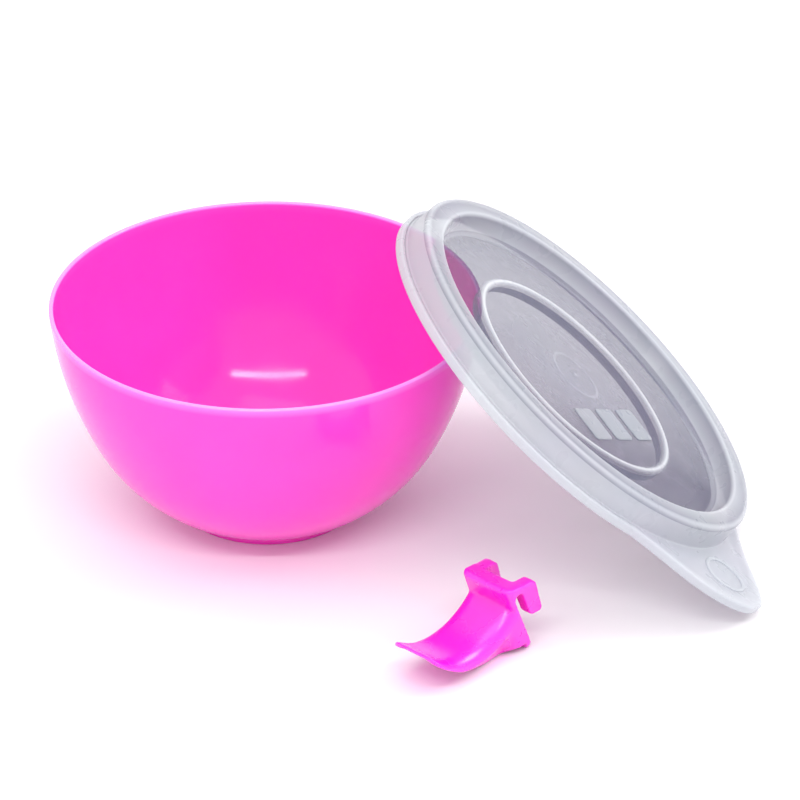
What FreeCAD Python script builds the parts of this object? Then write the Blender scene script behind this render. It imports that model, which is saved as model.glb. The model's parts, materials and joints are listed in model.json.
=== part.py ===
import FreeCAD, Part
import math
import os

import Sketcher

# Hair color bowl: a moulded bowl standing on its foot ring, its snap lid leaning
# on the rim, and the loose clip-on rim handle lying on the table in front.
# Millimetres, +Z up, origin at the centre of the foot ring's standing face.

os.makedirs("parts", exist_ok=True)
doc = FreeCAD.newDocument("HairColorBowl")

# ---------------------------------------------------------------- dimensions
DIMENSIONS = {
    # bowl
    "rim_radius": 75.0,
    "bowl_height": 79.2,
    "bowl_wall": 1.6,
    "rim_lean": 5.2,
    "upper_arc": 132.8,
    "lower_arc": 65.3,
    "upper_sweep": 21.2,
    "foot_radius": 32.2,
    "foot_top_radius": 33.0,
    "foot_inner": 29.6,
    "floor_top": 3.0,
    "floor_under": 1.4,
    # lid
    "lid_wall": 1.2,
    "flange_radius": 79.0,
    "lip_width": 1.0,
    "flange_top": 3.2,
    "skirt_radius": 76.5,
    "crest_radius": 75.9,
    "crest_inner": 68.0,
    "crest_height": 13.0,
    "crest_round": 1.8,
    "recess_radius": 66.2,
    "panel_radius": 64.6,
    "panel_top": 5.1,
    "bead_radius": 43.2,
    "bead_half": 1.1,
    "bead_rise": 0.5,
    "stack_rib_depth": 3.2,
    "gate_ring_radius": 10.6,
    "gate_dot_radius": 1.2,
    "mark_length": 12.0,
    "mark_width": 14.0,
    "mark_pitch": 16.0,
    "mark_offset": 22.5,
    "mark_rise": 0.5,
    "tab_reach": 103.3,
    "tab_tip_round": 19.0,
    "tab_flank_round": 160.0,
    "tab_flank_angle": 45.0,
    "thumb_ring_at": 88.5,
    "thumb_ring_radius": 7.6,
    "lid_tilt": 42.1,
    "lid_heading": 2.5,
    "lid_tab_turn": -42.7,
    "lid_x": 103.4,
    "lid_y": -15.2,
    "lid_z": 54.5,
    # rim handle
    "handle_width": 22.0,
    "plate_front": 0.6,
    "plate_back": 2.9,
    "plate_splay": 1.8,
    "plate_bottom": -2.8,
    "plate_corner": 2.6,
    "bar_front_top": 26.8,
    "hook_back": 13.5,
    "hook_top": 22.0,
    "hook_bottom": 9.4,
    "hook_bottom_fall": 1.4,
    "hook_inner": 7.6,
    "slot_top": 21.8,
    "slot_top_width": 3.8,
    "notch_width": 13.4,
    "notch_round": 2.5,
    "hull_root": 2.6,
    "deck_root": 18.9,
    "deck_low_x": -11.6,
    "deck_low_z": 15.1,
    "deck_end_x": -34.6,
    "deck_end_z": 26.6,
    "keel_end_x": -35.6,
    "keel_end_z": 25.0,
    "keel_mid_x": -12.0,
    "keel_mid_z": 3.2,
    "keel_root_z": -2.4,
    "deck_thickness": 1.8,
    "cavity_width": 10.0,
    "hull_draft_start": 15.0,
    "hull_draft_in": 5.6,
    "handle_lean": -18.2,
    "handle_heading": 47.1,
    "handle_x": 79.5,
    "handle_y": -93.8,
    "handle_z": 1.68,
}

sheet = doc.addObject("Spreadsheet::Sheet", "Dims")
for row, (alias, value) in enumerate(DIMENSIONS.items(), start=1):
    sheet.set("A%d" % row, alias)
    sheet.set("B%d" % row, str(value))
    sheet.setAlias("B%d" % row, alias)
doc.recompute()


def value_of(expression):
    """Number that an expression over the sheet's aliases gives."""
    result = sheet.evalExpression(str(expression))
    return float(getattr(result, "Value", result))


def dim(alias):
    return value_of("Dims." + alias)


# ------------------------------------------------------------ sketch helpers
def origin_plane(body, role):
    for feature in body.Origin.OriginFeatures:
        if feature.Role == role:
            return feature
    raise RuntimeError("no origin feature " + role)


def new_sketch(body, name, role, offset=None):
    sketch = body.newObject("Sketcher::SketchObject", name)
    sketch.AttachmentSupport = [(origin_plane(body, role), "")]
    sketch.MapMode = "FlatFace"
    if offset is not None:
        sketch.AttachmentOffset = offset
    return sketch


def arc_between(start, end, radius, side):
    """Arc from start to end; side +1 bulges to the left of the chord, -1 right."""
    chord = end - start
    half = chord.Length / 2.0
    radius = max(radius, half * 1.0001)
    left = FreeCAD.Vector(-chord.y, chord.x, 0).normalize()
    rise = radius - math.sqrt(radius * radius - half * half)
    top = start + chord * 0.5 + left * (rise * side)
    # a sketch holds its arcs anticlockwise
    if side > 0:
        return Part.Arc(end, top, start)
    return Part.Arc(start, top, end)


def fix_point(sketch, geometry, position, x_rule, y_rule):
    """Pins one end of a segment to the sheet's values."""
    for axis, kind, rule in ((-2, "DistanceX", x_rule), (-1, "DistanceY", y_rule)):
        if rule == "0":
            sketch.addConstraint(
                Sketcher.Constraint("PointOnObject", geometry, position, axis))
            continue
        index = sketch.addConstraint(
            Sketcher.Constraint(kind, -1, 1, geometry, position, value_of(rule)))
        sketch.setExpression("Constraints[%d]" % index, rule)


def closed_outline(sketch, steps):
    """Closed outline; each step is (x, y) or (x, y, radius, side), the arc
    leading to that point from the one before it."""
    points = [FreeCAD.Vector(value_of(s[0]), value_of(s[1]), 0) for s in steps]
    first = len(sketch.Geometry)
    count = len(steps)
    for number in range(count):
        start = points[number - 1]
        end = points[number]
        step = steps[number]
        if len(step) == 2:
            sketch.addGeometry(Part.LineSegment(start, end))
        else:
            sketch.addGeometry(arc_between(start, end, value_of(step[2]), step[3]))
    ends = []
    for number in range(count):
        geometry = sketch.Geometry[first + number]
        near_end = geometry.EndPoint.distanceToPoint(points[number]) < 1e-6
        ends.append((2, 1) if near_end else (1, 2))
    for number in range(count):
        here = first + number
        following = first + (number + 1) % count
        sketch.addConstraint(Sketcher.Constraint(
            "Coincident", here, ends[number][0], following, ends[(number + 1) % count][1]))
    for number in range(count):
        step = steps[number]
        fix_point(sketch, first + number, ends[number][0], str(step[0]), str(step[1]))
        if len(step) == 4:
            index = sketch.addConstraint(
                Sketcher.Constraint("Radius", first + number, value_of(step[2])))
            sketch.setExpression("Constraints[%d]" % index, str(step[2]))


def circle(sketch, x_rule, y_rule, radius_rule):
    centre = FreeCAD.Vector(value_of(x_rule), value_of(y_rule), 0)
    index = sketch.addGeometry(
        Part.Circle(centre, FreeCAD.Vector(0, 0, 1), value_of(radius_rule)))
    fix_point(sketch, index, 3, x_rule, y_rule)
    number = sketch.addConstraint(Sketcher.Constraint("Radius", index, value_of(radius_rule)))
    sketch.setExpression("Constraints[%d]" % number, radius_rule)


def revolve(body, sketch, name):
    feature = body.newObject("PartDesign::Revolution", name)
    feature.Profile = sketch
    feature.ReferenceAxis = (sketch, ["V_Axis"])
    feature.Angle = 360.0
    doc.recompute()
    return feature


def pad(body, sketch, name, length_rule, midplane=False, reverse=False):
    feature = body.newObject("PartDesign::Pad", name)
    feature.Profile = sketch
    feature.setExpression("Length", length_rule)
    feature.Midplane = midplane
    feature.Reversed = reverse
    before = volume_of(body)
    doc.recompute()
    if volume_of(body) <= before:
        raise RuntimeError(name + " adds nothing")
    return feature


def pocket(body, sketch, name, length_rule, midplane=False, reverse=False):
    before = volume_of(body)
    feature = body.newObject("PartDesign::Pocket", name)
    feature.Profile = sketch
    feature.setExpression("Length", length_rule)
    feature.Midplane = midplane
    feature.Reversed = reverse
    doc.recompute()
    if volume_of(body) >= before:
        raise RuntimeError(name + " removes nothing")
    return feature


def volume_of(body):
    return body.Shape.Volume if not body.Shape.isNull() else 0.0


# --------------------------------------------------------------------- bowl
bowl = doc.addObject("PartDesign::Body", "Bowl")
bowl.Label = "bowl"

# The outer wall is two tangent arcs: a flat one below the rim and a tighter one
# that runs under the bowl to the foot ring.  The inner wall shares their centres.
LEAN = "Dims.rim_lean * 1deg"
UPPER_X = "Dims.rim_radius - Dims.upper_arc * cos(%s)" % LEAN
UPPER_Z = "Dims.bowl_height + Dims.upper_arc * sin(%s)" % LEAN
JOIN = "(Dims.rim_lean + Dims.upper_sweep) * 1deg"
JOIN_X = "(%s + Dims.upper_arc * cos(%s))" % (UPPER_X, JOIN)
JOIN_Z = "(%s - Dims.upper_arc * sin(%s))" % (UPPER_Z, JOIN)
LOWER_X = "(%s - Dims.lower_arc * cos(%s))" % (JOIN_X, JOIN)
LOWER_Z = "(%s + Dims.lower_arc * sin(%s))" % (JOIN_Z, JOIN)
FOOT_MEET_Z = "%s - sqrt(Dims.lower_arc^2 - (Dims.foot_top_radius - %s)^2)" % (LOWER_Z, LOWER_X)
INNER_LOWER = "(Dims.lower_arc - Dims.bowl_wall)"
FLOOR_EDGE = "%s + sqrt(%s^2 - (%s - Dims.floor_top)^2)" % (LOWER_X, INNER_LOWER, LOWER_Z)
RIM_Z = "(Dims.bowl_height - 0.36 * Dims.bowl_wall)"
RIM_OUTER = "%s + sqrt(Dims.upper_arc^2 - (%s - %s)^2)" % (UPPER_X, UPPER_Z, RIM_Z)
RIM_INNER = "%s + sqrt((Dims.upper_arc - Dims.bowl_wall)^2 - (%s - %s)^2)" % (
    UPPER_X, UPPER_Z, RIM_Z)

section = new_sketch(bowl, "BowlSection", "XZ_Plane")
closed_outline(section, [
    ("0", "Dims.floor_top"),
    ("0", "Dims.floor_under"),
    ("Dims.foot_inner", "Dims.floor_under"),
    ("Dims.foot_inner + 0.3", "0"),
    ("Dims.foot_radius - 0.3", "0"),
    ("Dims.foot_radius", "0.3", "0.4", -1),
    ("Dims.foot_top_radius", FOOT_MEET_Z),
    (JOIN_X, JOIN_Z, "Dims.lower_arc", -1),
    (RIM_OUTER, RIM_Z, "Dims.upper_arc", -1),
    (RIM_INNER, RIM_Z, "Dims.bowl_wall / 2 + 0.02", -1),
    ("%s + (Dims.upper_arc - Dims.bowl_wall) * cos(%s)" % (UPPER_X, JOIN),
     "%s - (Dims.upper_arc - Dims.bowl_wall) * sin(%s)" % (UPPER_Z, JOIN),
     "Dims.upper_arc - Dims.bowl_wall", 1),
    (FLOOR_EDGE, "Dims.floor_top", INNER_LOWER, 1),
])
revolve(bowl, section, "BowlTurned")

# ---------------------------------------------------------------------- lid
lid = doc.addObject("PartDesign::Body", "Lid")
lid.Label = "lid"

# Its own frame: z = 0 at the lower edge of the flange's lip, x along the tab.
section = new_sketch(lid, "LidSection", "XZ_Plane")
closed_outline(section, [
    ("0", "Dims.panel_top"),
    ("0", "Dims.panel_top - Dims.lid_wall"),
    ("Dims.bead_radius - Dims.bead_half", "Dims.panel_top - Dims.lid_wall"),
    ("Dims.bead_radius - Dims.bead_half + 0.2",
     "Dims.panel_top - Dims.lid_wall - Dims.stack_rib_depth"),
    ("Dims.bead_radius + Dims.bead_half - 0.2",
     "Dims.panel_top - Dims.lid_wall - Dims.stack_rib_depth"),
    ("Dims.bead_radius + Dims.bead_half", "Dims.panel_top - Dims.lid_wall"),
    ("Dims.panel_radius + 0.9", "Dims.panel_top - Dims.lid_wall"),
    ("Dims.recess_radius + Dims.lid_wall", "Dims.panel_top + 0.8", "2.2", -1),
    ("Dims.crest_inner + Dims.lid_wall", "Dims.crest_height - Dims.lid_wall - 0.6"),
    ("Dims.crest_inner + Dims.lid_wall + 0.6", "Dims.crest_height - Dims.lid_wall", "0.6", 1),
    ("Dims.crest_radius - Dims.lid_wall - 0.6", "Dims.crest_height - Dims.lid_wall"),
    ("Dims.crest_radius - Dims.lid_wall + 0.1",
     "Dims.crest_height - Dims.lid_wall - 0.7", "0.8", 1),
    ("Dims.skirt_radius - Dims.lid_wall", "Dims.flange_top - Dims.lid_wall"),
    ("Dims.flange_radius - Dims.lip_width", "Dims.flange_top - Dims.lid_wall"),
    ("Dims.flange_radius - Dims.lip_width", "0"),
    ("Dims.flange_radius", "0"),
    ("Dims.flange_radius", "Dims.flange_top - 0.9"),
    ("Dims.flange_radius - 0.9", "Dims.flange_top", "0.9", -1),
    ("Dims.skirt_radius + 0.6", "Dims.flange_top"),
    ("Dims.skirt_radius", "Dims.flange_top + 0.6", "0.6", 1),
    ("Dims.crest_radius", "Dims.crest_height - Dims.crest_round"),
    ("Dims.crest_radius - Dims.crest_round", "Dims.crest_height", "Dims.crest_round", -1),
    ("Dims.crest_inner + 1.5", "Dims.crest_height"),
    ("Dims.crest_inner", "Dims.crest_height - 1.5", "1.5", -1),
    ("Dims.recess_radius", "Dims.panel_top + 1.8"),
    ("Dims.panel_radius", "Dims.panel_top", "2.0", 1),
    ("Dims.bead_radius + Dims.bead_half", "Dims.panel_top"),
    ("Dims.bead_radius - Dims.bead_half", "Dims.panel_top", "1.5", -1),
])
revolve(lid, section, "LidTurned")

# The pull tab: rounded tip, flanks that sweep into the flange on hollow arcs.
FLANK = "(Dims.tab_flank_angle * 1deg)"
TIP_X = "(Dims.tab_reach - Dims.tab_tip_round)"
FLANK_X = "(%s + Dims.tab_tip_round * cos(%s))" % (TIP_X, FLANK)
FLANK_Y = "(Dims.tab_tip_round * sin(%s))" % FLANK
ROOT_RADIUS = "(Dims.flange_radius - 0.4)"
ROOT_X = ROOT_RADIUS + " * cos(38deg)"
ROOT_Y = ROOT_RADIUS + " * sin(38deg)"
tab = new_sketch(lid, "TabOutline", "XY_Plane")
closed_outline(tab, [
    (ROOT_X, "-" + ROOT_Y, ROOT_RADIUS, 1),
    (FLANK_X, "-" + FLANK_Y, "Dims.tab_flank_round", 1),
    (FLANK_X, FLANK_Y, "Dims.tab_tip_round", -1),
    (ROOT_X, ROOT_Y, "Dims.tab_flank_round", 1),
])
pad(lid, tab, "Tab", "Dims.flange_top")

HOLLOW_RADIUS = "(Dims.flange_radius + 0.3)"
HOLLOW_X = HOLLOW_RADIUS + " * cos(26deg)"
HOLLOW_Y = HOLLOW_RADIUS + " * sin(26deg)"
INSET = "0.7071 * Dims.lip_width"
under = new_sketch(lid, "TabUnderside", "XY_Plane")
closed_outline(under, [
    (HOLLOW_X, "-" + HOLLOW_Y, HOLLOW_RADIUS, 1),
    ("%s - %s" % (FLANK_X, INSET), "-(%s - %s)" % (FLANK_Y, INSET)),
    ("%s - %s" % (FLANK_X, INSET), "%s - %s" % (FLANK_Y, INSET),
     "Dims.tab_tip_round - Dims.lip_width", -1),
    (HOLLOW_X, HOLLOW_Y),
])
pocket(lid, under, "TabHollow", "Dims.flange_top - Dims.lid_wall", reverse=True)


def raised(name, z_rule, rise_rule, draw):
    """A low raised detail on a horizontal face of the lid at height z."""
    sketch = new_sketch(lid, name + "Outline", "XY_Plane")
    sketch.AttachmentOffset = FreeCAD.Placement(
        FreeCAD.Vector(0, 0, value_of(z_rule) - 0.2), FreeCAD.Rotation())
    sketch.setExpression("AttachmentOffset.Base.z", "%s - 0.2" % z_rule)
    draw(sketch)
    pad(lid, sketch, name, "%s + 0.2" % rise_rule)


def draw_gate_ring(sketch):
    circle(sketch, "0", "0", "Dims.gate_ring_radius")
    circle(sketch, "0", "0", "Dims.gate_ring_radius - 1.2")


def draw_gate_dot(sketch):
    circle(sketch, "0", "0", "Dims.gate_dot_radius")


def draw_thumb_ring(sketch):
    circle(sketch, "Dims.thumb_ring_at", "0", "Dims.thumb_ring_radius")
    circle(sketch, "Dims.thumb_ring_at", "0", "Dims.thumb_ring_radius - 1.1")


def draw_marks(sketch):
    for place in (-1, 0, 1):
        middle = "%d * Dims.mark_pitch" % place
        low = "%s - Dims.mark_length / 2" % middle
        high = "%s + Dims.mark_length / 2" % middle
        near = "Dims.mark_offset - Dims.mark_width / 2"
        far = "Dims.mark_offset + Dims.mark_width / 2"
        closed_outline(sketch, [(near, low), (far, low), (far, high), (near, high)])


raised("GateRing", "Dims.panel_top", "0.3", draw_gate_ring)
raised("GateDot", "Dims.panel_top", "0.5", draw_gate_dot)
raised("Marks", "Dims.panel_top", "Dims.mark_rise", draw_marks)
raised("ThumbRing", "Dims.flange_top", "0.4", draw_thumb_ring)

# -------------------------------------------------------------- rim handle
handle = doc.addObject("PartDesign::Body", "RimHandle")
handle.Label = "rim_handle"

# Its own frame is the worn position: the plate hangs upright outside the rim,
# the hooks drop inside it, x points into the bowl, y runs along the rim.
SLOT_BACK = "Dims.plate_back + Dims.slot_top_width"
side = new_sketch(handle, "ClipSide", "XZ_Plane")
closed_outline(side, [
    ("Dims.plate_front + Dims.plate_splay", "Dims.plate_bottom + 0.8"),
    ("Dims.plate_front + Dims.plate_splay + 0.8", "Dims.plate_bottom", "0.8", 1),
    ("Dims.plate_back + Dims.plate_splay - 0.8", "Dims.plate_bottom"),
    ("Dims.plate_back + Dims.plate_splay", "Dims.plate_bottom + 0.8", "0.8", 1),
    ("Dims.plate_back", "Dims.slot_top - 1"),
    ("Dims.plate_back + 1", "Dims.slot_top", "1", -1),
    (SLOT_BACK + " - 1", "Dims.slot_top"),
    (SLOT_BACK, "Dims.slot_top - 1", "1", -1),
    ("Dims.hook_inner", "Dims.hook_bottom + 0.9"),
    ("Dims.hook_inner + 1.2", "Dims.hook_bottom", "1", 1),
    ("Dims.hook_back - 1.3", "Dims.hook_bottom - Dims.hook_bottom_fall"),
    ("Dims.hook_back - 0.2", "Dims.hook_bottom - Dims.hook_bottom_fall + 1.2", "1.2", 1),
    ("Dims.hook_back", "Dims.hook_top - 1.6"),
    ("Dims.hook_back - 1.3", "Dims.hook_top + 0.4", "1.5", 1),
    ("Dims.plate_front + 1.6", "Dims.bar_front_top - 0.4"),
    ("Dims.plate_front", "Dims.bar_front_top - 1.8", "1.5", 1),
])
pad(handle, side, "Clip", "Dims.handle_width", midplane=True)
notch = new_sketch(handle, "NotchOutline", "XY_Plane")
notch.setExpression("AttachmentOffset.Base.z", "Dims.bar_front_top + 1")
closed_outline(notch, [
    (SLOT_BACK + " - 0.4", "-Dims.notch_width / 2 + Dims.notch_round"),
    (SLOT_BACK + " - 0.4 + Dims.notch_round", "-Dims.notch_width / 2", "Dims.notch_round", 1),
    ("Dims.hook_back + 1", "-Dims.notch_width / 2"),
    ("Dims.hook_back + 1", "Dims.notch_width / 2"),
    (SLOT_BACK + " - 0.4 + Dims.notch_round", "Dims.notch_width / 2"),
    (SLOT_BACK + " - 0.4", "Dims.notch_width / 2 - Dims.notch_round", "Dims.notch_round", 1),
])
pocket(handle, notch, "Notch", "Dims.bar_front_top + 1", reverse=False)

# The plate's two lower corners are rounded off.
for name, way in (("CornerLeft", 1), ("CornerRight", -1)):
    corner = new_sketch(handle, name, "YZ_Plane")
    edge = "%d * Dims.handle_width / 2" % way
    inward = "%s - %d * Dims.plate_corner" % (edge, way)
    outward = "%s + %d" % (edge, way)
    closed_outline(corner, [
        (edge, "Dims.plate_bottom + Dims.plate_corner"),
        (inward, "Dims.plate_bottom", "Dims.plate_corner", way),
        (inward, "Dims.plate_bottom - 1"),
        (outward, "Dims.plate_bottom - 1"),
        (outward, "Dims.plate_bottom + Dims.plate_corner"),
    ])
    pocket(handle, corner, name + "Cut", "20", reverse=True)


def radius_through(names):
    """Radius of the circle through three (x, z) pairs of the sheet."""
    points = [FreeCAD.Vector(dim(x), dim(z), 0) for x, z in names]
    a, b, c = (points[1] - points[0]), (points[2] - points[1]), (points[0] - points[2])
    area = abs(a.x * b.y - a.y * b.x) / 2.0
    return a.Length * b.Length * c.Length / (4.0 * area)


# The curved grip: a hollow hull whose deck sweeps out and up from the plate.
deck = [("hull_root", "deck_root"), ("deck_low_x", "deck_low_z"), ("deck_end_x", "deck_end_z")]
keel = [("hull_root", "keel_root_z"), ("keel_mid_x", "keel_mid_z"), ("keel_end_x", "keel_end_z")]
deck_radius = radius_through(deck)
keel_radius = radius_through(keel)
sheet_row = len(DIMENSIONS) + 1
for alias, number in (("deck_radius", deck_radius), ("keel_radius", keel_radius)):
    sheet.set("A%d" % sheet_row, alias)
    sheet.set("B%d" % sheet_row, "%.3f" % number)
    sheet.setAlias("B%d" % sheet_row, alias)
    sheet_row += 1
doc.recompute()

hull = new_sketch(handle, "HullSide", "XZ_Plane")
closed_outline(hull, [
    ("Dims.hull_root", "Dims.deck_root"),
    ("Dims.deck_end_x", "Dims.deck_end_z", "Dims.deck_radius", 1),
    ("Dims.keel_end_x", "Dims.keel_end_z", "1", -1),
    ("Dims.hull_root", "Dims.keel_root_z", "Dims.keel_radius", -1),
])
pad(handle, hull, "Hull", "Dims.handle_width", midplane=True)


# The hull's flanks draw in towards the keel below a level line.
for name, way in (("FlankLeft", 1), ("FlankRight", -1)):
    flank = new_sketch(handle, name, "YZ_Plane")
    half = "%d * Dims.handle_width / 2" % way
    closed_outline(flank, [
        (half, "Dims.hull_draft_start"),
        ("%s - %d * Dims.hull_draft_in" % (half, way), "Dims.keel_root_z - 0.5"),
        ("%s + %d" % (half, way), "Dims.keel_root_z - 0.5"),
        ("%s + %d" % (half, way), "Dims.hull_draft_start"),
    ])
    flank.AttachmentOffset = FreeCAD.Placement(
        FreeCAD.Vector(0, 0, dim("plate_front") - 0.1), FreeCAD.Rotation())
    pocket(handle, flank, name + "Cut", "60", reverse=False)

cavity = new_sketch(handle, "CavitySide", "XZ_Plane")
closed_outline(cavity, [
    ("Dims.plate_front", "Dims.deck_root - Dims.deck_thickness - 1"),
    ("Dims.deck_end_x + 6", "Dims.deck_end_z - 5.6", "Dims.deck_radius + Dims.deck_thickness", 1),
    ("Dims.deck_end_x + 4", "Dims.keel_root_z - 1"),
    ("Dims.plate_front", "Dims.keel_root_z - 1"),
])
pocket(handle, cavity, "Cavity", "Dims.cavity_width", midplane=True)

# -------------------------------------------------------------- placements
def placed(x_at, y_at, z_at, *turns):
    turn = FreeCAD.Rotation()
    for axis, angle in turns:
        turn = turn.multiply(FreeCAD.Rotation(FreeCAD.Vector(*axis), angle))
    return FreeCAD.Placement(FreeCAD.Vector(x_at, y_at, z_at), turn)


UP = (0, 0, 1)
ACROSS = (0, 1, 0)
lid.Placement = placed(
    dim("lid_x"), dim("lid_y"), dim("lid_z"),
    (UP, dim("lid_heading")), (ACROSS, dim("lid_tilt")), (UP, dim("lid_tab_turn")))
handle.Placement = placed(
    dim("handle_x"), dim("handle_y"), dim("handle_z"),
    (UP, dim("handle_heading")), (ACROSS, dim("handle_lean")))
for body, name in ((lid, "lid"), (handle, "handle")):
    for axis in "xyz":
        body.setExpression("Placement.Base." + axis, "Dims.%s_%s" % (name, axis))
doc.recompute()

# ------------------------------------------------------------------- output
for item in doc.Objects:
    if "Invalid" in item.State or "Error" in item.State:
        raise RuntimeError("%s failed: %s" % (item.Name, item.State))
for body in (bowl, lid, handle):
    shape = body.Shape
    if shape.isNull() or not shape.isValid() or len(shape.Solids) != 1:
        raise RuntimeError(body.Label + " is not one valid solid")
for body in (bowl, lid, handle):
    body.Shape.exportStep("parts/%s.step" % body.Label)
    print("%s %.0f mm3" % (body.Label, body.Shape.Volume))
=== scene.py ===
import json
import math

import bmesh
import bpy
from mathutils import Matrix, Vector


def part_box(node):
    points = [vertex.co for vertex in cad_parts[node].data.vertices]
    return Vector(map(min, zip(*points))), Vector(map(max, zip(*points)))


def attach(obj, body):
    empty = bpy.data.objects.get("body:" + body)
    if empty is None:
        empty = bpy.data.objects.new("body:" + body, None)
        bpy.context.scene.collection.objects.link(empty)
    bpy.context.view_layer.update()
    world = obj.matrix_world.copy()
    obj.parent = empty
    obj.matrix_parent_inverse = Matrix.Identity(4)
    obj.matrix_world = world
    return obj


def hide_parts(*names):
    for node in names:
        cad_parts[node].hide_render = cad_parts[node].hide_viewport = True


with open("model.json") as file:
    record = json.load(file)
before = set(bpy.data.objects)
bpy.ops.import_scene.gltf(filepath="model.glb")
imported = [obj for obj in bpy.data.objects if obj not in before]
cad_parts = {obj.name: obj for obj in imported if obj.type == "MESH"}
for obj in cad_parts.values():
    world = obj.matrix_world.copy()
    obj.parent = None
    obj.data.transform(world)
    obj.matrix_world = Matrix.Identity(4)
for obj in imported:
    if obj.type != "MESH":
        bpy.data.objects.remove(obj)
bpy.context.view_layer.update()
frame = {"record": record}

# Hair color bowl: the pink bowl, its translucent lid leaning on the rim and the
# loose clip-on rim handle.  Lengths in this file are millimetres until a mesh is
# made; MM turns them into metres.  Stage, lights and camera are in metres.
MM = 0.001
MOUNTS = {mount["name"]: mount for mount in frame["record"]["mounts"]}


# ------------------------------------------------------------------ outlines
def rounded(corners, arc_steps=6, guard=0.25):
    """Closed (r, z) outline with each corner (r, z, radius) turned into an arc.
    Guard points just outside each arc keep the flats flat under smooth shading."""
    straight_on = math.pi - 1e-3
    out = []
    count = len(corners)
    for number, (x, z, radius) in enumerate(corners):
        here = Vector((x, z))
        before = Vector(corners[number - 1][:2]) - here
        after = Vector(corners[(number + 1) % count][:2]) - here
        turn = before.angle(after)
        if radius <= 0 or turn > straight_on:
            out.append((x, z))
            continue
        reach = radius / math.tan(turn / 2)
        limit = 0.49 * min(before.length, after.length)
        if reach > limit:
            radius *= limit / reach
            reach = limit
        before.normalize()
        after.normalize()
        middle = here + (before + after).normalized() * (radius / math.sin(turn / 2))
        start = here + before * reach
        end = here + after * reach
        if reach + guard < limit:
            out.append(tuple(here + before * (reach + guard)))
        first = math.atan2(start.y - middle.y, start.x - middle.x)
        sweep = math.atan2(end.y - middle.y, end.x - middle.x) - first
        sweep = (sweep + math.pi) % (2 * math.pi) - math.pi
        for step in range(arc_steps + 1):
            angle = first + sweep * step / arc_steps
            out.append((middle.x + radius * math.cos(angle), middle.y + radius * math.sin(angle)))
        if reach + guard < limit:
            out.append(tuple(here + after * (reach + guard)))
    return out


def arc(centre, radius, start, end, steps):
    """Points on an arc in the (r, z) plane; angles in radians."""
    points = []
    for step in range(steps + 1):
        angle = start + (end - start) * step / steps
        points.append((centre[0] + radius * math.cos(angle), centre[1] + radius * math.sin(angle)))
    return points


def outward_normals(mesh, smooth):
    """Turns every face outwards and sets its shading."""
    work = bmesh.new()
    work.from_mesh(mesh)
    bmesh.ops.recalc_face_normals(work, faces=work.faces)
    for face in work.faces:
        face.smooth = smooth
    work.to_mesh(mesh)
    work.free()


def mesh_object(name, verts, faces, smooth=True):
    """Object in the scene from points in metres, with its normals outwards."""
    mesh = bpy.data.meshes.new(name)
    mesh.from_pydata([tuple(v) for v in verts], [], faces)
    mesh.validate()
    obj = bpy.data.objects.new(name, mesh)
    bpy.context.scene.collection.objects.link(obj)
    outward_normals(mesh, smooth)
    return obj


def ring_faces(one, two):
    """Faces between two equal rings of vertex numbers.  A ring that is one shared
    vertex repeated gives triangles."""
    faces = []
    if one[0] == one[1] and two[0] == two[1]:
        return faces
    for step in range(len(one)):
        after = (step + 1) % len(one)
        face = []
        for index in (one[step], one[after], two[after], two[step]):
            if index not in face:
                face.append(index)
        faces.append(face)
    return faces


def lathe(name, outline, segments, place):
    """Closed skin of revolution.  place(r, z, angle) gives each point; an outline
    point with r = 0 becomes one shared vertex on the axis."""
    verts = []
    rings = []
    for r, z in outline:
        if abs(r) < 1e-6:
            rings.append([len(verts)] * segments)
            verts.append(place(0.0, z, 0.0))
            continue
        rings.append(list(range(len(verts), len(verts) + segments)))
        for step in range(segments):
            verts.append(place(r, z, 2 * math.pi * step / segments))
    faces = []
    for one, two in zip(rings, rings[1:] + rings[:1]):
        faces += ring_faces(one, two)
    return mesh_object(name, [Vector(v) * MM for v in verts], faces)


def turned(r, z, angle):
    """Point at radius r and height z, turned about the z axis."""
    return Vector((r * math.cos(angle), r * math.sin(angle), z))


def set_attribute(obj, name, values):
    """Stores one number per vertex, which a material can read by its name."""
    layer = obj.data.attributes.new(name, "FLOAT", "POINT")
    layer.data.foreach_set("value", values)


# ------------------------------------------------------------------ materials
def material(name):
    """New material with its nodes, its links and its Principled shader."""
    made = bpy.data.materials.new(name)
    made.use_nodes = True
    nodes = made.node_tree.nodes
    shader = nodes.get("Principled BSDF")
    return made, nodes, made.node_tree.links, shader


def noise(nodes, links, source, scale, detail, label):
    node = nodes.new("ShaderNodeTexNoise")
    node.label = label
    node.inputs["Scale"].default_value = scale
    node.inputs["Detail"].default_value = detail
    links.new(source, node.inputs["Vector"])
    return node


def spread(nodes, links, source, low, high):
    """Maps a 0..1 value onto low..high."""
    node = nodes.new("ShaderNodeMapRange")
    node.inputs["From Min"].default_value = 0.3
    node.inputs["From Max"].default_value = 0.7
    node.inputs["To Min"].default_value = low
    node.inputs["To Max"].default_value = high
    links.new(source, node.inputs["Value"])
    return node.outputs["Result"]


def blend_colour(nodes, links, factor, one, two):
    """Colour between one (factor 0) and two (factor 1)."""
    node = nodes.new("ShaderNodeMix")
    node.data_type = "RGBA"
    node.inputs["A"].default_value = (*one, 1)
    node.inputs["B"].default_value = (*two, 1)
    links.new(factor, node.inputs["Factor"])
    return node.outputs["Result"]


# Painted highlight: pale pink painted on the top of the bowl's rim, standing in for the rim's highlight
# and light shining through it.
PAINTED_RIM_HIGHLIGHT = (1.0, 0.30, 0.84)


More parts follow.
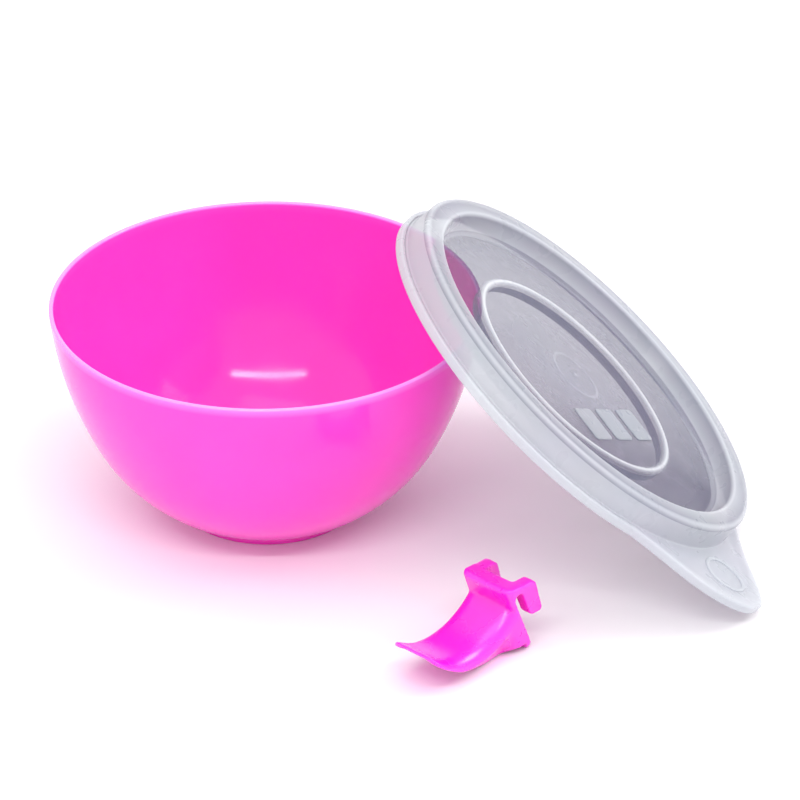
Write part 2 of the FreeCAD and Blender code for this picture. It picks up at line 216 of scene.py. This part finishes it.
def pink_plastic(name, light, deep, rough, gloss):
    """Slightly translucent moulded polypropylene: flow-mottled colour, a fine
    orange-peel skin and a soft gloss.  The top band of a rim, which the mesh marks
    with an attribute, is painted a pale pink: a painted highlight along the rim and
    painted light shining through its narrow edge."""
    made, nodes, links, shader = material(name)
    where = nodes.new("ShaderNodeTexCoord").outputs["Object"]
    mottle = noise(nodes, links, where, 22.0, 3.0, "flow mottling")
    colour = blend_colour(nodes, links, spread(nodes, links, mottle.outputs["Fac"], 0.0, 1.0),
                          light, deep)
    # Painted highlight: the rim's marked top band is blended to the pale pink.
    rim_glow_attr = nodes.new("ShaderNodeAttribute")
    rim_glow_attr.attribute_name = "painted_rim_highlight"
    rim_glow_mix = nodes.new("ShaderNodeMix")
    rim_glow_mix.data_type = "RGBA"
    rim_glow_mix.inputs["B"].default_value = (*PAINTED_RIM_HIGHLIGHT, 1)
    links.new(rim_glow_attr.outputs["Fac"], rim_glow_mix.inputs["Factor"])
    links.new(colour, rim_glow_mix.inputs["A"])
    links.new(rim_glow_mix.outputs["Result"], shader.inputs["Base Color"])
    smear = noise(nodes, links, where, 60.0, 4.0, "handling smears")
    links.new(spread(nodes, links, smear.outputs["Fac"], rough - 0.035, rough + 0.045),
              shader.inputs["Roughness"])
    peel = noise(nodes, links, where, 900.0, 2.0, "orange peel")
    bump = nodes.new("ShaderNodeBump")
    bump.inputs["Strength"].default_value = 0.06
    bump.inputs["Distance"].default_value = 0.0002
    links.new(peel.outputs["Fac"], bump.inputs["Height"])
    links.new(bump.outputs["Normal"], shader.inputs["Normal"])
    shader.inputs["IOR"].default_value = 1.47
    shader.inputs["Specular IOR Level"].default_value = gloss
    shader.inputs["Subsurface Weight"].default_value = 0.35
    shader.inputs["Subsurface Radius"].default_value = (1.0, 0.22, 0.70)
    shader.inputs["Subsurface Scale"].default_value = 0.005
    return made


def frosted_plastic(name):
    """Natural polyethylene: see-through where the sheet is thinnest, milk-white
    where a rib, lip or bead makes it thicker, and painted whiter on the walls, the
    crest's rounded edges, the flange and the lip as painted light and painted
    highlight.  The mesh carries all of that as one attribute."""
    made, nodes, links, shader = material(name)
    where = nodes.new("ShaderNodeTexCoord").outputs["Object"]
    milk_and_painted_light = nodes.new("ShaderNodeAttribute")
    milk_and_painted_light.attribute_name = "milk_and_painted_light"
    thin_colour = (0.03, 0.035, 0.11)
    milk_and_highlight_white = (0.70, 0.725, 0.775)
    # The attribute blends clear dark plastic to milk white; on the walls, crest edges, flange and lip
    # that white is partly painted light and painted highlight.
    colour = blend_colour(nodes, links, milk_and_painted_light.outputs["Fac"], thin_colour, milk_and_highlight_white)
    cloud = noise(nodes, links, where, 30.0, 3.0, "moulding haze")
    haze = nodes.new("ShaderNodeMix")
    haze.data_type = "RGBA"
    haze.blend_type = "SOFT_LIGHT"
    haze.inputs["Factor"].default_value = 0.10
    links.new(colour, haze.inputs["A"])
    links.new(cloud.outputs["Color"], haze.inputs["B"])
    links.new(haze.outputs["Result"], shader.inputs["Base Color"])
    see = nodes.new("ShaderNodeMapRange")
    see.inputs["To Min"].default_value = 0.44
    see.inputs["To Max"].default_value = 0.74
    links.new(milk_and_painted_light.outputs["Fac"], see.inputs["Value"])
    links.new(see.outputs["Result"], shader.inputs["Alpha"])
    scuff = noise(nodes, links, where, 110.0, 2.0, "satin skin")
    links.new(spread(nodes, links, scuff.outputs["Fac"], 0.25, 0.33), shader.inputs["Roughness"])
    bump = nodes.new("ShaderNodeBump")
    bump.inputs["Strength"].default_value = 0.015
    bump.inputs["Distance"].default_value = 0.0002
    links.new(scuff.outputs["Fac"], bump.inputs["Height"])
    links.new(bump.outputs["Normal"], shader.inputs["Normal"])
    shader.inputs["IOR"].default_value = 1.5
    shader.inputs["Specular IOR Level"].default_value = 0.38
    return made


BOWL_PINK = pink_plastic("bowl_pink", (0.95, 0.064, 0.58), (0.93, 0.054, 0.54), 0.12, 0.42)
HANDLE_PINK = pink_plastic("handle_pink", (0.92, 0.012, 0.63), (0.90, 0.009, 0.59), 0.27, 0.95)
LID_FROST = frosted_plastic("lid_frosted")


# ----------------------------------------------------------------------- bowl
def build_bowl():
    low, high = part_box("bowl")
    rim = (high[0] - low[0]) / 2 / MM
    height = high[2] / MM
    wall = 1.6
    upper_radius, lower_radius = 132.8, 65.3
    lean, sweep = math.radians(5.2), math.radians(21.2)
    upper = (rim - upper_radius * math.cos(lean), height - 0.58 + upper_radius * math.sin(lean))
    join = lean + sweep
    lower = (upper[0] + (upper_radius - lower_radius) * math.cos(join),
             upper[1] - (upper_radius - lower_radius) * math.sin(join))
    foot_top, foot_inner, foot_outer = 33.0, 29.6, 31.9
    floor_top, floor_under = 3.0, 1.4
    meet = math.acos((foot_top - lower[0]) / lower_radius)
    inner = lower_radius - wall
    floor_angle = math.asin((lower[1] - floor_top) / inner)

    # (r, z, rounding): foot ring, outer wall, rim, inner wall, floor
    corners = [(0.0, floor_under, 0), (foot_inner, floor_under, 0.7),
               (foot_inner + 0.3, 0.0, 0.4), (foot_outer, 0.0, 0.5)]
    outer_low = arc(lower, lower_radius, -meet, -join, 22)
    corners.append((*outer_low[0], 1.2))
    corners += [(*p, 0) for p in outer_low[1:]]
    corners += [(*p, 0) for p in arc(upper, upper_radius, -join, -lean - 0.002, 18)[1:]]
    tip = corners[-1]
    rim_round = wall / 2
    rim_middle = (tip[0] - rim_round, tip[1])
    corners += [(*p, 0) for p in arc(rim_middle, rim_round, 0.15, math.pi - 0.05, 10)]
    corners += [(*p, 0) for p in arc(upper, upper_radius - wall, -lean - 0.006, -join, 18)]
    inner_low = arc(lower, inner, -join, -floor_angle + 0.07, 18)
    corners += [(*p, 0) for p in inner_low[1:]]
    floor_corner = (lower[0] + inner * math.cos(floor_angle), floor_top)
    corners.append((*floor_corner, 26.0))
    corners.append((12.0, floor_top, 0))
    corners.append((0.0, floor_top, 0))
    bowl = lathe("tint_bowl", rounded(corners, 8), 256, turned)
    # Painted highlight on the rim: full pale pink on the top 0.4 mm, fading to none 1.3 mm below the
    # top.
    rim_highlight_depth, rim_highlight_fade = 1.3, 0.9
    above = [v.co.z / MM - height + rim_highlight_depth for v in bowl.data.vertices]
    set_attribute(bowl, "painted_rim_highlight", [max(0.0, min(1.0, z / rim_highlight_fade)) for z in above])
    bowl.data.materials.append(BOWL_PINK)
    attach(bowl, "bowl")
    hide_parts("bowl")


# ------------------------------------------------------------------------ lid
def lid_matrix():
    """Lid's own frame in the row: z along its normal from the flange's lower
    edge, x along the pull tab.  Millimetres."""
    centre = Vector(MOUNTS["lid_centre"]["pos_m"]) / MM
    normal = Vector(MOUNTS["lid_centre"]["axis"]).normalized()
    along = Vector(MOUNTS["pull_tab"]["pos_m"]) / MM - centre
    along = (along - normal * along.dot(normal)).normalized()
    across = normal.cross(along)
    turn = Matrix((along, across, normal)).transposed().to_4x4()
    return Matrix.Translation(centre - normal * PANEL_TOP) @ turn


PANEL_TOP = 5.1
SHEET = 1.2
FLANGE = 79.0
FLANGE_TOP = 3.2
LIP = 1.0
SKIRT = 76.5
CREST_OUT, CREST_IN, CREST_TOP = 75.9, 68.0, 13.0
BEAD = 43.2
# half outline of the pull tab, from its tip to where it leaves the flange
TAB = [(104.6, 0.0), (104.0, 5.0), (102.1, 9.5), (99.1, 14.0), (95.0, 18.6), (91.0, 22.2),
       (87.0, 25.2), (82.5, 28.4), (78.5, 31.6), (73.0, 36.0), (67.0, 41.8)]
# the tab carries the lid's weight, so it bows gently upwards from here outwards
BOW_START, BOW_RADIUS = 79.0, 160.0
FLOOR_GAP = 0.12


def smooth_curve(points, steps):
    """Catmull-Rom curve through the points."""
    out = []
    last = len(points) - 1
    for number in range(last):
        p0 = Vector(points[max(number - 1, 0)])
        p1 = Vector(points[number])
        p2 = Vector(points[number + 1])
        p3 = Vector(points[min(number + 2, last)])
        if number == 0:
            p0 = Vector((p2.x, -p2.y)) if abs(p1.y) < 1e-9 else 2 * p1 - p2
        for step in range(steps):
            t = step / steps
            out.append(0.5 * (2 * p1 + (p2 - p0) * t + (2 * p0 - 5 * p1 + 4 * p2 - p3) * t * t
                              + (3 * p1 - p0 - 3 * p2 + p3) * t ** 3))
    out.append(Vector(points[-1]))
    return out


TAB_EDGE = [(math.atan2(p.y, p.x), p.length) for p in smooth_curve(TAB, 12)]


def flange_edge(angle):
    """Radius of the lid's outer edge at an angle from the tab's axis."""
    angle = abs((angle + math.pi) % (2 * math.pi) - math.pi)
    for (a0, r0), (a1, r1) in zip(TAB_EDGE, TAB_EDGE[1:]):
        if a0 <= angle <= a1:
            return max(r0 + (r1 - r0) * (angle - a0) / (a1 - a0), FLANGE)
    return FLANGE


def edge_slant(angle):
    """Cosine of how far the edge is turned away from the radius, for keeping the
    lip's width even round the tab."""
    step = 0.01
    change = abs(flange_edge(angle + step) - flange_edge(angle - step))
    return max(0.72, math.cos(change / (2 * step * flange_edge(angle))))


def resting(matrix, point):
    """A point of the lid in the row, with the tab bowed and kept above the floor."""
    over = max(0.0, point.x - BOW_START)
    placed = matrix @ Vector((point.x, point.y, point.z + over * over / (2 * BOW_RADIUS)))
    placed.z = max(placed.z, FLOOR_GAP)
    return placed


def milk_and_painted_light_at(r, z):
    """How far towards milk white the turned part of the lid is painted at (r, z),
    0..1: most on the bead, the gate mark and the crest's two rounded edges.  Bead
    and gate mark are thicker plastic; the crest's rounded edges carry a painted
    highlight, and the walls, the same sheet as the panel, carry painted light."""
    bead = max(0.0, 1 - abs(r - BEAD) / 1.9)
    gate = 0.45 * max(0.0, 1 - abs(r - 10.1) / 1.2) + 0.6 * max(0.0, 1 - r / 1.8)
    # Painted light: the skirt and the far inner wall are painted whiter than the panel, which is the
    # same sheet.
    wall = 0.72 if r > 70.0 else 0.75 if r > 66.0 else 0.30 if r > 64.5 else 0.0
    # Painted highlight: a milk-white band along the crest's two rounded edges.
    if z > CREST_TOP - 2.0:
        inner = math.hypot(r - CREST_IN - 0.6, z - CREST_TOP)
        outer = math.hypot(r - CREST_OUT + 0.5, z - CREST_TOP)
        wall = 0.42 + 0.48 * max(0.0, 1 - min(inner, outer) / 1.9)
    return max(bead, gate, wall)


# Lip and flange: partly the plastic's own haze, partly a painted highlight along the lid's edge.
LIP_MILK_AND_LIGHT, FLANGE_MILK_AND_LIGHT = 0.84, 0.72


def lid_rings():
    """The lid's cross-section as rings: ("turned", r, z) out to the skirt, then
    ("flange", share of the way from skirt to edge, inset, z)."""
    body = [
        (0.0, PANEL_TOP + 0.5, 0), (1.2, PANEL_TOP + 0.45, 0.3), (1.6, PANEL_TOP, 0.4),
        (9.2, PANEL_TOP, 0.4), (9.6, PANEL_TOP + 0.35, 0.3), (10.6, PANEL_TOP + 0.35, 0.3),
        (11.0, PANEL_TOP, 0.4),
        (BEAD - 1.5, PANEL_TOP, 0.6), (BEAD - 0.6, PANEL_TOP + 0.6, 0.5),
        (BEAD + 0.6, PANEL_TOP + 0.6, 0.5), (BEAD + 1.5, PANEL_TOP, 0.6),
        (65.6, PANEL_TOP, 2.4),
        (CREST_IN, CREST_TOP, 1.6), (CREST_OUT - 0.1, CREST_TOP, 2.0),
        (SKIRT, FLANGE_TOP, 0.7)]
    under = [
        (SKIRT - SHEET, FLANGE_TOP - SHEET, 0.3),
        (CREST_OUT - SHEET + 0.05, CREST_TOP - SHEET, 0.9),
        (CREST_IN + SHEET, CREST_TOP - SHEET, 0.7),
        (66.8, PANEL_TOP - SHEET, 1.8),
        (BEAD + 1.1, PANEL_TOP - SHEET, 0.5), (BEAD + 0.9, 0.7, 0.4),
        (BEAD - 0.9, 0.7, 0.4), (BEAD - 1.1, PANEL_TOP - SHEET, 0.5),
        (0.0, PANEL_TOP - SHEET, 0)]
    sheet_top = [("flange", share, 0.0, FLANGE_TOP) for share in (0.04, 0.2, 0.4, 0.6, 0.8)]
    sheet_top.append(("flange", 1.0, 1.4, FLANGE_TOP))
    edge = []
    edge_round = 0.9
    for step in range(7):
        angle = math.radians(90 - 15 * step)
        inset = edge_round - edge_round * math.cos(angle)
        edge.append(("flange", 1.0, inset, FLANGE_TOP - edge_round + edge_round * math.sin(angle)))
    edge += [("flange", 1.0, 0.0, 0.6), ("flange", 1.0, 0.1, 0.15), ("flange", 1.0, 0.3, 0.0),
             ("flange", 1.0, LIP - 0.3, 0.0), ("flange", 1.0, LIP - 0.08, 0.15),
             ("flange", 1.0, LIP, 0.6), ("flange", 1.0, LIP, FLANGE_TOP - SHEET - 0.4),
             ("flange", 1.0, LIP + 0.12, FLANGE_TOP - SHEET - 0.1),
             ("flange", 1.0, LIP + 0.4, FLANGE_TOP - SHEET)]
    back = [("flange", share, 0.0, FLANGE_TOP - SHEET) for share in (0.8, 0.6, 0.4, 0.2)]

    outside = FLANGE + 4
    shape = rounded(body + [(outside, FLANGE_TOP, 0), (outside, FLANGE_TOP - SHEET, 0)] + under)
    split = [i for i, (r, z) in enumerate(shape) if r > outside - 1]
    above = [("turned", r, z) for r, z in shape[:split[0]]]
    below = [("turned", r, z) for r, z in shape[split[-1] + 1:]]
    return above + sheet_top + edge + back + below


def build_lid():
    """The lid's skin is one polar grid; past the skirt its rings are stretched out
    to the edge of the tab, so flange, lip and tab are one sheet."""
    angles = []
    position = -math.pi
    fine = TAB_EDGE[-1][0] + 0.05
    while position < math.pi - 1e-6:
        angles.append(position)
        position += math.radians(0.75) if abs(position) < fine else math.radians(1.5)
    matrix = lid_matrix()
    flange_start, flange_end = SKIRT + 1.0, 1.8
    verts = []
    milk_and_painted_light = []
    grid = []
    for ring in lid_rings():
        row = []
        centre = ring[0] == "turned" and ring[1] < 1e-6
        for angle in angles[:1] if centre else angles:
            if ring[0] == "turned":
                r, z = ring[1:]
                milk_and_painted_light.append(milk_and_painted_light_at(r, z))
            else:
                share, inset, z = ring[1:]
                edge_radius = flange_edge(angle)
                if share < 1:
                    r = flange_start + (edge_radius - flange_end - flange_start) * share
                    milk_and_painted_light.append(FLANGE_MILK_AND_LIGHT)
                else:
                    r = edge_radius - inset * (1.0 / edge_slant(angle))
                    milk_and_painted_light.append(LIP_MILK_AND_LIGHT)
            row.append(len(verts))
            verts.append(resting(matrix, turned(r, z, angle)) * MM)
        grid.append(row * len(angles) if centre else row)
    faces = []
    for one, two in zip(grid, grid[1:] + grid[:1]):
        faces += ring_faces(one, two)
    lid = mesh_object("snap_lid", verts, faces)
    set_attribute(lid, "milk_and_painted_light", milk_and_painted_light)
    lid.data.materials.append(LID_FROST)
    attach(lid, "lid")
    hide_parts("lid")


def lid_details():
    """Raised ring on the pull tab and three plain raised bars on the panel."""
    matrix = lid_matrix()
    ring_at, ring_across = 88.5, 1.25
    bars_at, bar_pitch, bar_long, bar_wide = 22.5, 16.0, 14.0, 12.0

    def on_tab(r, z, angle):
        flat = turned(r, FLANGE_TOP + z, angle)
        return resting(matrix, Vector((ring_at + flat.x, ring_across * flat.y, flat.z)))

    section = [(6.7, -0.3, 0.1), (8.1, -0.3, 0.1), (8.1, 0.4, 0.5), (6.7, 0.4, 0.5)]
    ring = lathe("thumb_ring", rounded(section, 4, 0.05), 96, on_tab)
    set_attribute(ring, "milk_and_painted_light", [0.8] * len(ring.data.vertices))
    pieces = [ring]
    for number in range(3):
        centre = (bars_at, (number - 1) * bar_pitch)
        pieces.append(raised_bar("mark_bar_%d" % number, centre, bar_long, bar_wide, matrix))
    for piece in pieces:
        piece.data.materials.append(LID_FROST)
        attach(piece, "lid")


def raised_bar(name, centre, long, wide, matrix):
    """Low pillow-edged bar standing on the panel."""
    verts = []
    # (inset, height above the panel) from the foot to the top
    rows = [(0.0, -0.2), (0.0, 0.15), (0.12, 0.32), (0.35, 0.42), (0.7, 0.45)]
    loops = []
    for inset, z in rows:
        loop = []
        radius = max(1.6 - inset, 0.3)
        half_x, half_y = long / 2 - inset, wide / 2 - inset
        for corner in range(4):
            sx, sy = ((1, 1), (-1, 1), (-1, -1), (1, -1))[corner]
            for step in range(7):
                angle = math.radians(90 * corner + 15 * step)
                loop.append(len(verts))
                verts.append((centre[0] + sx * (half_x - radius) + radius * math.cos(angle),
                              centre[1] + sy * (half_y - radius) + radius * math.sin(angle),
                              PANEL_TOP + z))
        loops.append(loop)
    faces = []
    for one, two in zip(loops, loops[1:]):
        faces += ring_faces(one, two)
    faces.append(loops[-1])
    faces.append(loops[0][::-1])
    bar = mesh_object(name, [(matrix @ Vector(v)) * MM for v in verts], faces)
    set_attribute(bar, "milk_and_painted_light", [0.60] * len(bar.data.vertices))
    return bar


# --------------------------------------------------------------------- handle
HANDLE_HALF = 11.0
SLOT_MIDDLE = (4.8, 21.8)


def handle_matrix():
    """Handle's own frame in the row: x into the bowl, y along the rim, z up when
    worn.  Millimetres."""
    slot = Vector(MOUNTS["rim_slot"]["pos_m"]) / MM
    up = -Vector(MOUNTS["rim_slot"]["axis"]).normalized()
    along = up.cross(Vector((0, 0, 1))).normalized()
    into = along.cross(up)
    turn = Matrix((into, along, up)).transposed().to_4x4()
    start = slot - turn @ Vector((SLOT_MIDDLE[0], 0, SLOT_MIDDLE[1]))
    return Matrix.Translation(start) @ turn


def circle_through(a, b, c):
    """Centre and radius of the circle through three (x, z) points."""
    ax, az, bx, bz, cx, cz = *a, *b, *c
    d = 2 * (ax * (bz - cz) + bx * (cz - az) + cx * (az - bz))
    a2, b2, c2 = ax * ax + az * az, bx * bx + bz * bz, cx * cx + cz * cz
    x = (a2 * (bz - cz) + b2 * (cz - az) + c2 * (az - bz)) / d
    z = (a2 * (cx - bx) + b2 * (ax - cx) + c2 * (bx - ax)) / d
    return x, z, math.hypot(ax - x, az - z)


def under_arc(circle, x):
    """Height of the circle's lower half at x."""
    return circle[1] - math.sqrt(circle[2] ** 2 - (x - circle[0]) ** 2)


DECK = circle_through((2.6, 18.9), (-11.6, 15.1), (-34.6, 26.6))
KEEL = circle_through((2.6, -2.4), (-12.0, 3.2), (-35.6, 25.0))


def bar_top(x, y):
    """Top of the bar: falls towards the hooks and is dished between its ends."""
    return 27.1 - 0.372 * (x - 0.6) - 0.9 * (1 - (y / HANDLE_HALF) ** 2)


def loft(loops):
    """Faces of a closed tube through equal loops, with both ends capped."""
    verts = [point for loop in loops for point in loop]
    size = len(loops[0])
    faces = []
    for row in range(len(loops) - 1):
        for step in range(size):
            after = (step + 1) % size
            faces.append((row * size + step, row * size + after,
                          (row + 1) * size + after, (row + 1) * size + step))
    faces.append(tuple(range(size))[::-1])
    faces.append(tuple((len(loops) - 1) * size + step for step in range(size)))
    return verts, faces


def steps_between(start, end, count):
    return [start + (end - start) * number / count for number in range(count + 1)]


def plate_and_bar():
    """Back plate with rounded lower corners, and the bar over the rim slot."""
    loops = []
    corner = 2.6
    plate_foot = -2.7
    for y in steps_between(-HANDLE_HALF, HANDLE_HALF, 44):
        past = max(0.0, abs(y) - (HANDLE_HALF - corner))
        fall = corner - math.sqrt(max(0.0, corner ** 2 - past ** 2))
        foot = plate_foot + fall
        roll = min(2.0, fall)
        outline = [(2.4, foot), (4.7, foot), (2.95, 20.8), (3.9, 21.9), (7.3, 22.0), (7.9, 23.0),
                   (7.6, bar_top(7.6, y) - roll * 0.3), (2.2 + roll * 0.5, bar_top(2.2, y) - roll * 0.4),
                   (0.9 + roll * 0.9, bar_top(0.9, y) - 0.7 - roll * 0.8),
                   (0.6 + roll, bar_top(0.6, y) - 2.2 - roll * 0.8)]
        loops.append([(x, y, z) for x, z in outline])
    return loft(loops)


def hook(side):
    """One of the two hooks behind the slot; side is 1 or -1."""
    loops = []
    start = 6.1
    for share in steps_between(0.0, 1.0, 6):
        y = side * (start + (HANDLE_HALF - start) * share)
        end = 0.9 * share ** 4
        outline = [(3.0, 22.2), (5.7, 21.8), (6.7, 20.8), (7.6, 10.3), (8.6, 9.3), (12.3, 8.0),
                   (13.4, 9.2), (13.6, 20.8), (12.6, bar_top(12.6, y) - end),
                   (3.0, bar_top(3.0, y) - end)]
        loops.append([(x, y, z) for x, z in outline])
    return loft(loops)


def hull():
    """Hollow curved grip, open below: a dished deck with rounded ridges and flanks
    that draw in towards the keel."""
    loops = []
    ridge = 5.0
    wall, deck, inner_bevel = 1.7, 1.8, 2.6
    draft, draft_start = 0.36, 15.0
    tip_start, tip_round = -32.6, 2.8
    for x in steps_between(2.4, -35.4, 72):
        top = under_arc(DECK, max(x, -35.0))
        tip = max(0.0, tip_start - x)
        half = HANDLE_HALF - tip_round + math.sqrt(max(0.0, tip_round ** 2 - tip ** 2))
        full = min(1.0, max(0.0, (-0.2 - x) / 6.0))
        full = full * full * (3 - 2 * full)
        keel = min(under_arc(KEEL, x) + 3.0 * (1 - full), top - 1.5)
        shoulder = max(keel, min(draft_start, top - ridge))
        drawn = draft * max(0.0, draft_start - keel) * full
        inside_top = max(top - deck, keel + 0.02)
        ridge_here = min(ridge, top - shoulder) if top - shoulder > 0.2 else 0.2
        right = [(half - ridge_here * (1 - math.sin(a)), top - ridge_here * (1 - math.cos(a)))
                 for a in steps_between(0.0, math.pi / 2, 6)]
        right += [(half, shoulder), (half - drawn, keel)]
        inside = half - 0.35 * drawn - wall
        right += [(half - drawn - wall, keel), (inside, max(keel + 0.01, inside_top - inner_bevel)),
                  (inside - inner_bevel, inside_top)]
        loop = right + [(-y, z) for y, z in right[::-1]]
        loops.append([(x, y, z) for y, z in loop])
    return loft(loops)


def build_handle():
    """The lofts are merged on a fine grid and relaxed, which rounds every edge
    and root as moulding does."""
    grid, relax_rounds = 0.26, 40
    verts = []
    faces = []
    for more_verts, more_faces in (plate_and_bar(), hook(1), hook(-1), hull()):
        offset = len(verts)
        verts += more_verts
        faces += [tuple(index + offset for index in face) for face in more_faces]
    rough = bpy.data.meshes.new("handle_rough")
    rough.from_pydata([tuple(Vector(v) * MM) for v in verts], [], faces)
    outward_normals(rough, True)
    obj = bpy.data.objects.new("clip_handle", rough)
    bpy.context.scene.collection.objects.link(obj)
    merge = obj.modifiers.new("merge", "REMESH")
    merge.mode = "VOXEL"
    merge.voxel_size = grid * MM
    relax = obj.modifiers.new("relax", "SMOOTH")
    relax.factor = 0.5
    relax.iterations = relax_rounds
    bpy.context.view_layer.update()
    seen = obj.evaluated_get(bpy.context.evaluated_depsgraph_get())
    mesh = bpy.data.meshes.new_from_object(seen)
    obj.modifiers.clear()
    obj.data = mesh
    turn = handle_matrix()
    turn.translation *= MM
    mesh.transform(turn)
    for face in mesh.polygons:
        face.use_smooth = True
    mesh.materials.append(HANDLE_PINK)
    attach(obj, "rim_handle")
    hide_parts("rim_handle")


build_bowl()
build_lid()
lid_details()
build_handle()


# ---------------------------------------------------------------------- stage
def build_stage():
    """Plain pale floor."""
    size = 6.0
    corners = [(-size, -size, 0), (size, -size, 0), (size, size, 0), (-size, size, 0)]
    floor = mesh_object("floor", corners, [(0, 1, 2, 3)], smooth=False)
    made, nodes, links, shader = material("pale_floor")
    where = nodes.new("ShaderNodeTexCoord").outputs["Object"]
    grain = noise(nodes, links, where, 40.0, 3.0, "paper grain")
    links.new(blend_colour(nodes, links, grain.outputs["Fac"], (0.93, 0.93, 0.93), (0.91, 0.91, 0.92)),
              shader.inputs["Base Color"])
    shader.inputs["Roughness"].default_value = 0.9
    shader.inputs["Specular IOR Level"].default_value = 0.1
    floor.data.materials.append(made)


def area_light(name, where, target, width, height, watts):
    """White softbox at a place, facing a target; metres and watts."""
    data = bpy.data.lights.new(name, "AREA")
    data.shape = "RECTANGLE"
    data.size = width
    data.size_y = height
    data.energy = watts
    lamp = bpy.data.objects.new(name, data)
    lamp.location = where
    lamp.rotation_euler = (Vector(target) - Vector(where)).to_track_quat("-Z", "Y").to_euler()
    bpy.context.scene.collection.objects.link(lamp)


def build_light():
    """Even white surroundings, a strip softbox that the bowl's far inner wall
    mirrors towards the camera, a soft top light and one on the right for the
    handle's ridge."""
    world = bpy.data.worlds.new("studio")
    bpy.context.scene.world = world
    world.use_nodes = True
    background = world.node_tree.nodes["Background"]
    background.inputs["Color"].default_value = (1.0, 1.0, 1.0, 1)
    background.inputs["Strength"].default_value = 1.03
    wall_point = Vector((0.0, 0.052, 0.020))
    strip_rise, strip_away = math.radians(49.7), 1.2
    strip = wall_point + strip_away * Vector((0, -math.cos(strip_rise), math.sin(strip_rise)))
    area_light("strip_softbox", strip, wall_point, 0.95, 0.05, 4.0)
    area_light("top_window", (0.0, -0.15, 1.7), (0.03, 0, 0.03), 1.1, 1.1, 5.0)
    area_light("right_window", (1.15, 0.05, 0.86), (0.06, -0.1, 0.02), 0.50, 0.50, 6.0)


def build_camera():
    """Long lens on the object's front, looking down at about thirty degrees."""
    data = bpy.data.cameras.new("camera")
    camera = bpy.data.objects.new("camera", data)
    bpy.context.scene.collection.objects.link(camera)
    target = Vector((0.0464, 0.0, 0.0398))
    distance = 1.6667
    rise = math.radians(30.08)
    camera.location = target + distance * Vector((0, -math.cos(rise), math.sin(rise)))
    camera.rotation_euler = (math.pi / 2 - rise, 0, 0)
    data.sensor_width = 36.0
    data.lens = 214.5
    data.clip_start = 0.05
    data.clip_end = 50.0
    data.dof.use_dof = False
    bpy.context.scene.camera = camera


build_stage()
build_light()
build_camera()
bpy.context.scene.view_settings.view_transform = "Standard"
